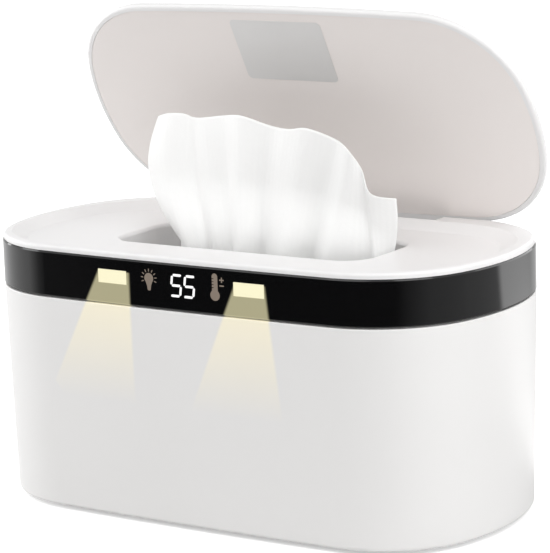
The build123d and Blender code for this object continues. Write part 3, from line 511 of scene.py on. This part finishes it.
def thermometer(x):
    """A thermometer with a round foot and a notched stem, beside a plus and a minus."""
    top = arc(x, STEM_TOP, STEM_HALF, 0, 180, CURVE_POINTS // 2)
    deep, high = TICK_SIZE
    notches = []
    for k in range(TICKS):
        z = TICK_TOP - k * TICK_GAP
        notches += [(x - STEM_HALF, z), (x - STEM_HALF + deep, z), (x - STEM_HALF + deep, z - high),
                    (x - STEM_HALF, z - high)]
    foot = arc(x, FOOT_Z, FOOT_RADIUS, 90 + FOOT_OPENING / 2, 450 - FOOT_OPENING / 2, CURVE_POINTS)
    left, middle, right = x + SIGN_X - SIGN_HALF, x + SIGN_X, x + SIGN_X + SIGN_HALF
    return [top + notches + foot, bar(left, PLUS_Z, right, PLUS_Z, SIGN_WIDTH),
            bar(middle, PLUS_Z - SIGN_HALF, middle, PLUS_Z + SIGN_HALF, SIGN_WIDTH),
            bar(left, MINUS_Z, right, MINUS_Z, SIGN_WIDTH)]


symbol("lamp_icon", bulb(LAMP_ICON_X), icon_ink)
symbol("heat_icon", thermometer(HEAT_ICON_X), icon_ink)

# ---- Bare silver plate on the lid's inner panel ----
PLATE_SIZE = (42.2, 28.6)
PLATE_CENTER = (-0.6, -85.0)    # across the lid, and along it from the hinge
PLATE_CORNER = 2.0
PLATE_FACES = (0.01, 0.15)      # how far its back and its front stand off the panel
LINER_FACE = 10.7               # the inner panel's face on the shut lid, over the hinge's axis
# From a point on the shut lid, given about its hinge, to where it is on the open one.
lid_turn = Matrix.Translation(hinge) @ Matrix.Rotation(-open_angle, 4, "X")


def lid_plate():
    """A thin rounded plate stuck on the inner panel."""
    w, h, r = PLATE_SIZE[0] / 2, PLATE_SIZE[1] / 2, PLATE_CORNER
    outline = []
    for sx, sy, start in ((1, 1, 0), (-1, 1, 90), (-1, -1, 180), (1, -1, 270)):
        outline += arc(PLATE_CENTER[0] + sx * (w - r), PLATE_CENTER[1] + sy * (h - r), r,
                       start, start + 90, CORNER_POINTS)
    made = bmesh.new()
    back, front = ([made.verts.new(lid_turn @ Vector((x * MM, y * MM, (LINER_FACE - out) * MM)))
                    for x, y in outline] for out in PLATE_FACES)
    solid(made, back, front)
    piece(shape("lid_plate", finished(made, "lid_plate"), foil), "lid")


lid_plate()


# ---- The drawn wipe ----
def smooth_between(knots, t):
    """Value at t of a smooth curve through evenly spaced knots."""
    last = len(knots) - 1
    at = min(max(t, 0.0), 1.0) * last
    i = min(int(at), last - 1)
    f = at - i
    p0, p1, p2, p3 = (knots[min(max(i + k, 0), last)] for k in (-1, 0, 1, 2))
    return 0.5 * (2 * p1 + (p2 - p0) * f + (2 * p0 - 5 * p1 + 4 * p2 - p3) * f * f
                  + (3 * p1 - p0 - 3 * p2 + p3) * f ** 3)


# Fold lines across the fan, from its left edge to its right: place at the free edge, place at the tray,
# height of the free edge, how far the fold stands forward (-) or back (+) of the sheet's middle, how far it
# bows sideways half way up, and how far back the whole line is set. All in mm.
FOLDS = (
    (-49.8, -42.4, 150.8, 1.6, -9.8, 0.0), (-42.5, -35.5, 152.8, -1.1, -6.0, 0.0),
    (-35.8, -30.0, 152.8, -0.6, -3.2, 0.0), (-32.0, -26.8, 151.4, 0.5, -1.8, 0.0),
    (-26.5, -22.5, 151.7, -0.4, -0.6, 0.0), (-17.5, -16.0, 152.8, 0.4, 0.0, 0.0),
    (-8.0, -9.5, 153.4, -1.3, 0.0, 0.0), (3.5, -3.0, 149.8, 1.2, 0.0, 0.0),
    (13.0, 5.5, 149.1, -0.5, 0.0, 0.0), (22.5, 12.5, 149.9, -1.2, 0.0, 0.0),
    (33.0, 19.5, 145.8, 1.5, 0.6, 0.4), (40.3, 31.0, 142.0, -1.3, 1.2, 1.0),
    (43.9, 44.5, 135.0, 0.9, 0.8, 2.0), (48.0, 50.0, 125.6, -0.4, 0.0, 3.0),
    (58.2, 55.6, 123.8, 0.8, 1.4, 4.0))
BASE_CREASE = 2.40              # the folds stand this many times as far out at the tray, and at the free edge
TOP_CREASE = 1.05
OPENING = 1.1                   # over 1, the fan opens more towards its free edge than at the tray
SWAY = 3.2                      # how far the free edge waves to the front and back
SWAY_WAVES = 0.85               # how many waves there are across it, and where in a wave its left end is
SWAY_START = 0.12
WANDER = 0.5                    # small bulges between the folds, and how many there are across and up
WANDER_COUNT = (7, 2.5)
LEAN_BASE = -6.0                # the sheet leaves the well this far forward (-), and stands this far back (+)
LEAN_TOP = 0.5                  # from a certain share of its height
LEAN_END = 0.55
LEAN_FADE = 0.25                # the lean dies away over this share of the width, at the right
SHIFT_X = 0.70                  # a point that stands further back lies this much further left and lower,
SHIFT_Z = 0.19                  # so that the fan keeps its outline
TRAY_LEVEL = 100.0
# The hidden part, from the tray down: it hangs through the well, at these depths and heights, then lies in
# short plies on the wipes below.
HANG = ((0.0, 100.0), (0.4, 89.0), (-0.5, 80.0))
FOLDED_FROM = 94.0              # above this level it has the fan's folds, and below the other it has none
FLAT_FROM = 74.0
PLIES = 11
PLY_DEPTH = 8.0
PLY_PITCH = 1.5
PLY_ROUND = 2.0                 # how long a ply's turn is, and how high as a share of the pitch
PLY_TURN = 0.6
PLY_REST = 0.6                  # the plies are kept at least this far off the wipes below
COLUMNS = 140                   # faces across the sheet, up the fan and along the hidden part
ROWS = 56
TAIL_ROWS = 150
WIPE_THICK = 0.4
WIPE_CUT = (0.150, 0.175)       # the flat sheet, in metres


def tail_path():
    """Depth and height along the hidden part, in mm."""
    path = list(HANG)
    top = sheet_low.z / MM + PLY_REST + PLIES * PLY_PITCH
    for ply in range(PLIES):
        side = 1 if ply % 2 else -1
        z = top - ply * PLY_PITCH
        path += [(side * (PLY_DEPTH - PLY_ROUND), z), (side * PLY_DEPTH, z - PLY_TURN / 2 * PLY_PITCH),
                 (side * (PLY_DEPTH - PLY_ROUND), z - PLY_TURN * PLY_PITCH)]
    return path


def drawn_wipe():
    """One wipe pulled up through the well: a pleated fan above the tray, the rest in flat plies below."""
    top_x, tray_x, top_z, stand, bow, back = zip(*FOLDS)
    tail_y, tail_z = zip(*tail_path())
    made = bmesh.new()
    cut = made.loops.layers.uv.new("cut")
    grid = []
    for column in range(COLUMNS + 1):
        u = column / COLUMNS
        x0, x1, z1, fold, side, rear = (smooth_between(knots, u)
                                        for knots in (tray_x, top_x, top_z, stand, bow, back))
        kept = min(1.0, (1 - u) / LEAN_FADE)            # how much of the lean this column keeps
        lean = LEAN_BASE * kept
        line = []
        for row in range(TAIL_ROWS):
            t = row / TAIL_ROWS                         # from the loose end up to the tray
            y, z = smooth_between(tail_y, 1 - t), smooth_between(tail_z, 1 - t)
            folded = min(max((z - FLAT_FROM) / (FOLDED_FROM - FLAT_FROM), 0.0), 1.0)
            line.append((x0 - SHIFT_X * lean, y + (BASE_CREASE * fold + rear + lean) * folded, z))
        for row in range(ROWS + 1):
            v = row / ROWS                              # from the tray up to the free edge
            x = x0 + (x1 - x0) * v ** OPENING + side * math.sin(math.pi * v)
            crease = TOP_CREASE + (BASE_CREASE - TOP_CREASE) * (1 - v) ** 2
            wander = WANDER * noise.noise(Vector((u * WANDER_COUNT[0], v * WANDER_COUNT[1], 4.0))) * v
            rise = min(v / LEAN_END, 1.0)
            sway = SWAY * math.sin(2 * math.pi * (SWAY_WAVES * u + SWAY_START)) * v * v
            sway += lean + (LEAN_TOP * kept - lean) * rise * rise * (3 - 2 * rise)
            z = TRAY_LEVEL + (z1 - TRAY_LEVEL) * v
            line.append((x - SHIFT_X * sway, fold * crease + rear + wander + sway, z - SHIFT_Z * sway))
        grid.append([made.verts.new((x * MM, y * MM, z * MM)) for x, y, z in line])
    for i, (a, b) in enumerate(zip(grid, grid[1:])):
        for j in range(len(a) - 1):
            face = made.faces.new((a[j], b[j], b[j + 1], a[j + 1]))
            for loop, (di, dj) in zip(face.loops, ((0, 0), (1, 0), (1, 1), (0, 1))):
                loop[cut].uv = ((i + di) / COLUMNS * WIPE_CUT[0], (j + dj) / len(a) * WIPE_CUT[1])
    shown = shape("drawn_wipe", finished(made, "drawn_wipe"), wipe_cloth)
    thick = shown.modifiers.new("thick", "SOLIDIFY")
    thick.thickness = WIPE_THICK * MM
    thick.offset = 0.0
    bake(shown)
    piece(shown, "cover")
    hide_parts("wipe_sheet")
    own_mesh(shown)


# ---- The folded wipes in the tank ----
LAYERS = 19
LAYER_SLACK = 0.12              # how much thinner a layer is than its share of the height, in mm
LAYER_SHIFT = 0.5               # how far a layer may lie off its place, in mm
LAYER_TURN = 0.35               # and how far it may be turned, in degrees
LAYER_SEED = 7
PAD_POINTS = 28                 # round a pad's end view, an oval that these powers square up, along and up:
PAD_SQUARE_Y = 0.16             # 1 leaves it round, and 0 would make a box of it
PAD_SQUARE_Z = 0.9
PAD_END = 0.35                  # how thick its cut ends are, as a share of its middle, and how many times its
PAD_END_RATE = 60               # thickness it would gain from there over half its length, if it didn't stop
PAD_END_NARROW = 0.015          # how much it would narrow if it lost all its thickness
RIPPLE = 0.10                   # how far its faces wave, as a share of half its thickness
PAD_STATIONS = (0.0, 0.2, 0.45, 0.7, 0.9, 0.98, 0.996, 1.0)     # from its middle to an end, as shares


def one_folded_wipe(pitch):
    """A folded wipe as a soft pad: its folds round at front and back, and thin at both cut ends."""
    half_x, half_y = (stack_high.x - LAYER_SHIFT * 2 * MM), (stack_high.y - LAYER_SHIFT * 2 * MM)
    half_z = (pitch - LAYER_SLACK * MM) / 2
    profile = []
    for k in range(PAD_POINTS):
        t = 2 * math.pi * k / PAD_POINTS
        c, s = math.cos(t), math.sin(t)
        profile.append((math.copysign(abs(c) ** PAD_SQUARE_Y, c), math.copysign(abs(s) ** PAD_SQUARE_Z, s)))
    made = bmesh.new()
    cut = made.loops.layers.uv.new("cut")
    rings = []
    for x in [-share for share in reversed(PAD_STATIONS[1:])] + list(PAD_STATIONS):
        end = min(1.0, (1 - abs(x)) * PAD_END_RATE + PAD_END)
        ring = []
        for y, z in profile:
            ripple = RIPPLE * math.sin(5 * x + 3 * y) * (1 - abs(y) ** 4)
            ring.append(made.verts.new((half_x * x, half_y * y * (1 - PAD_END_NARROW * (1 - end)),
                                        half_z * (z * end * (1 - RIPPLE) + ripple))))
        rings.append(ring)
    for a, b in zip(rings, rings[1:]):
        for k in range(PAD_POINTS):
            after = (k + 1) % PAD_POINTS
            made.faces.new((a[k], b[k], b[after], a[after]))
    made.faces.new(rings[0])
    made.faces.new(list(reversed(rings[-1])))
    for face in made.faces:
        for loop in face.loops:
            loop[cut].uv = (loop.vert.co.x, loop.vert.co.y + loop.vert.co.z)
    return finished(made, "folded_wipes")


def pile():
    """A node tree that piles one shape up in layers, each a little off its place."""
    tree = bpy.data.node_groups.new("pile", "GeometryNodeTree")
    for name, kind in (("Geometry", "Geometry"), ("Layers", "Int"), ("Pitch", "Float"), ("Shift", "Float"),
                       ("Turn", "Float"), ("Seed", "Int"), ("Finish", "Material")):
        tree.interface.new_socket(name, in_out="INPUT", socket_type="NodeSocket" + kind)
    tree.interface.new_socket("Geometry", in_out="OUTPUT", socket_type="NodeSocketGeometry")
    given = add(tree, "NodeGroupInput").outputs
    up = add(tree, "ShaderNodeCombineXYZ", _2=given["Pitch"])
    places = add(tree, "GeometryNodeMeshLine", {"mode": "OFFSET"}, Count=given["Layers"],
                 Offset=up.outputs[0])
    loose = add(tree, "FunctionNodeRandomValue", {"data_type": "FLOAT_VECTOR", 0: (-1, -1, 0), 1: (1, 1, 0)},
                Seed=given["Seed"])
    moved = add(tree, "ShaderNodeVectorMath", {"operation": "SCALE"}, _0=loose.outputs[0],
                Scale=given["Shift"])
    shifted = add(tree, "GeometryNodeSetPosition", Geometry=places.outputs[0], Offset=moved.outputs[0])
    askew = add(tree, "FunctionNodeRandomValue", {"data_type": "FLOAT_VECTOR", 0: (0, 0, -1), 1: (0, 0, 1)},
                Seed=given["Seed"])
    turned = add(tree, "ShaderNodeVectorMath", {"operation": "SCALE"}, _0=askew.outputs[0],
                 Scale=given["Turn"])
    copies = add(tree, "GeometryNodeInstanceOnPoints", Points=shifted.outputs[0], Instance=given["Geometry"],
                 Rotation=turned.outputs[0])
    real = add(tree, "GeometryNodeRealizeInstances", Geometry=copies.outputs[0])
    dressed = add(tree, "GeometryNodeSetMaterial", Geometry=real.outputs[0], Material=given["Finish"])
    end = add(tree, "NodeGroupOutput")
    tree.links.new(dressed.outputs[0], end.inputs[0])
    return tree


def feed(modifier, **values):
    """Set a node tree's named inputs on its modifier, each by its socket's identifier."""
    for item in modifier.node_group.interface.items_tree:
        if item.item_type == "SOCKET" and item.in_out == "INPUT" and item.name in values:
            modifier[item.identifier] = values[item.name]


def folded_wipes():
    """The interfolded wipes that fill the tank."""
    pitch = (stack_high.z - stack_low.z) / LAYERS
    shown = shape("folded_wipes", one_folded_wipe(pitch), wipe_cloth)
    heap = shown.modifiers.new("heap", "NODES")
    heap.node_group = pile()
    feed(heap, Layers=LAYERS, Pitch=pitch, Shift=LAYER_SHIFT * MM, Turn=math.radians(LAYER_TURN),
         Seed=LAYER_SEED, Finish=wipe_cloth)
    bake(shown)
    for vertex in shown.data.vertices:
        vertex.co.z += stack_low.z + pitch / 2
    piece(shown, "base")
    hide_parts("wipe_stack")


folded_wipes()
drawn_wipe()


# ---------------------------------------------------------------- stage, lamps and camera
def seen(tree):
    """1 for what the camera sees straight, in a reflection or through something clear, and 0 for light."""
    path = add(tree, "ShaderNodeLightPath")
    mirror = add(tree, "ShaderNodeMath", {"operation": "MAXIMUM"}, _0=path.outputs["Is Camera Ray"],
                 _1=path.outputs["Is Glossy Ray"])
    clear = add(tree, "ShaderNodeMath", {"operation": "MAXIMUM"}, _0=mirror.outputs[0],
                _1=path.outputs["Is Transmission Ray"])
    return clear.outputs[0]


def level_square(name, half, height):
    """A level square for the stage, and the empty node tree of its paint."""
    mesh = bpy.data.meshes.new(name)
    corners = [(x * half, y * half, height) for x, y in ((-1, -1), (1, -1), (1, 1), (-1, 1))]
    mesh.from_pydata(corners, [], [(0, 1, 2, 3)])
    made = bpy.data.objects.new(name, mesh)
    bpy.context.scene.collection.objects.link(made)
    paint = bpy.data.materials.new(name + "_paint")
    paint.use_nodes = True
    paint.node_tree.nodes.clear()
    mesh.materials.append(paint)
    return made, paint.node_tree


# The floor is pale paper that keeps the object's shadow, and clears to white further out.
FLOOR_HALF = 6.0                # in metres, as the rest of the stage is
FLOOR_NEAR = (0.22, 0.45)       # distance from the middle, and how much white is added there
FLOOR_FAR = (0.75, 1.0)
tree = level_square("floor", FLOOR_HALF, 0.0)[1]
paper = add(tree, "ShaderNodeBsdfDiffuse", {"Color": linear("#EDEDED")})
place = add(tree, "ShaderNodeTexCoord")
away = add(tree, "ShaderNodeVectorMath", {"operation": "LENGTH"}, _0=place.outputs["Object"])
clearing = add(tree, "ShaderNodeMapRange", {
    "From Min": FLOOR_NEAR[0], "From Max": FLOOR_FAR[0], "To Min": FLOOR_NEAR[1], "To Max": FLOOR_FAR[1]},
    Value=away.outputs["Value"])
glow = add(tree, "ShaderNodeEmission", {"Color": linear("#FFFFFF")}, Strength=clearing.outputs["Result"])
both = add(tree, "ShaderNodeAddShader", _0=paper.outputs[0], _1=glow.outputs[0])
pick = add(tree, "ShaderNodeMixShader", _0=seen(tree), _1=paper.outputs[0], _2=both.outputs[0])
add(tree, "ShaderNodeOutputMaterial", Surface=pick.outputs[0])

# A card round the object on the floor, seen only in reflections: dark in front, which keeps the glossy band
# black, and paler behind the band's turned ends. How bright it is by the angle round from the front, in
# degrees.
CARD = ((-180, 0.9), (-140, 0.8), (-100, 1.15), (-61, 1.15), (-46, 0.12), (-36, 0.01), (45, 0.01), (74, 0.46),
        (125, 0.62), (130, 0.66), (133, 2.5), (150, 1.6), (165, 0.85), (180, 0.9))
CARD_PEAK = 3.0
CARD_HALF = 1.6
CARD_LIFT = 0.001
card, tree = level_square("reflector_card", CARD_HALF, CARD_LIFT)
place = add(tree, "ShaderNodeTexCoord")
axes = add(tree, "ShaderNodeSeparateXYZ", _0=place.outputs["Object"])
behind = add(tree, "ShaderNodeMath", {"operation": "MULTIPLY", 1: -1.0}, _0=axes.outputs["Y"])
angle = add(tree, "ShaderNodeMath", {"operation": "ARCTAN2"}, _0=axes.outputs["X"], _1=behind.outputs[0])
turn = add(tree, "ShaderNodeMapRange", {"From Min": -math.pi, "From Max": math.pi}, Value=angle.outputs[0])
shades = add(tree, "ShaderNodeValToRGB", Fac=turn.outputs["Result"])
while len(shades.color_ramp.elements) < len(CARD):
    shades.color_ramp.elements.new(0.5)
for stop, (degrees, level) in zip(shades.color_ramp.elements, CARD):
    stop.position = (degrees + 180) / 360
    stop.color = (level / CARD_PEAK,) * 3 + (1.0,)
shade = add(tree, "ShaderNodeEmission", {"Strength": CARD_PEAK}, Color=shades.outputs["Color"])
add(tree, "ShaderNodeOutputMaterial", Surface=shade.outputs[0])
card.visible_camera = card.visible_diffuse = card.visible_shadow = card.visible_transmission = False

ROOM = 0.30                     # how bright the white room is as light
world = bpy.data.worlds.new("studio")
bpy.context.scene.world = world
world.use_nodes = True
tree = world.node_tree
tree.nodes.clear()
room = add(tree, "ShaderNodeBackground", {"Color": linear("#F6F6F6"), "Strength": ROOM})
backdrop = add(tree, "ShaderNodeBackground", {"Color": linear("#FFFFFF"), "Strength": 1.0})
pick = add(tree, "ShaderNodeMixShader", _0=seen(tree), _1=room.outputs[0], _2=backdrop.outputs[0])
add(tree, "ShaderNodeOutputWorld", Surface=pick.outputs[0])

# Soft boxes: a rectangular lamp at each spot, facing the object's middle. Size in metres, power in watts.
LAMPS = (
    ("left_softbox", (-0.75, -0.30, 0.45), (0.6, 0.6), 2.5),
    ("side_left_softbox", (-0.9, 0.05, 0.22), (0.5, 0.4), 1.5),
    ("right_softbox", (0.62, 0.05, 0.30), (0.6, 0.56), 1.25),
    ("high_right_softbox", (0.45, -0.15, 0.75), (0.5, 0.5), 1.6),
    ("low_right_softbox", (0.9, -0.75, 0.20), (0.5, 0.4), 1.15),
    ("front_softbox", (0.0, -0.80, 1.05), (2.2, 1.1), 8.4),
    ("back_softbox", (0.2, 1.2, 0.75), (1.2, 0.8), 4.2),
)
AIM = Vector((0.0, 0.0, 0.09))
for name, spot, (wide, high), power in LAMPS:
    light = bpy.data.lights.new(name, "AREA")
    light.shape = "RECTANGLE"
    light.size, light.size_y = wide, high
    light.energy = power
    made = bpy.data.objects.new(name, light)
    bpy.context.scene.collection.objects.link(made)
    made.location = spot
    made.rotation_euler = (AIM - Vector(spot)).to_track_quat("-Z", "Y").to_euler()
    made.visible_camera = False

# Camera: the view is from the front, to the right and a little above. Distances in metres.
CAMERA_AZIMUTH = math.radians(33.1)
CAMERA_ELEVATION = math.radians(11.5)
CAMERA_ROLL = math.radians(-1.8)
CAMERA_DISTANCE = 1.0354
CAMERA_AIM = Vector((0.0048, 0.0, 0.0898))
FOCAL_PIXELS = 2620.7           # the lens's focal length and the picture's long side, in pixels
FRAME_HEIGHT = 553
SENSOR = 36.0                   # in mm
toward = Vector((math.sin(CAMERA_AZIMUTH) * math.cos(CAMERA_ELEVATION),
                 -math.cos(CAMERA_AZIMUTH) * math.cos(CAMERA_ELEVATION), math.sin(CAMERA_ELEVATION)))
level = Vector((math.cos(CAMERA_AZIMUTH), math.sin(CAMERA_AZIMUTH), 0.0))
upright = toward.cross(level)
across = level * math.cos(CAMERA_ROLL) + upright * math.sin(CAMERA_ROLL)
above = -level * math.sin(CAMERA_ROLL) + upright * math.cos(CAMERA_ROLL)
camera_data = bpy.data.cameras.new("camera")
camera_data.sensor_width = SENSOR
camera_data.sensor_fit = "AUTO"
camera_data.lens = FOCAL_PIXELS * SENSOR / FRAME_HEIGHT
camera = bpy.data.objects.new("camera", camera_data)
bpy.context.scene.collection.objects.link(camera)
turn = Matrix((across, above, toward)).transposed().to_4x4()
camera.matrix_world = Matrix.Translation(CAMERA_AIM + toward * CAMERA_DISTANCE) @ turn
bpy.context.scene.camera = camera

bpy.context.scene.view_settings.view_transform = "Standard"
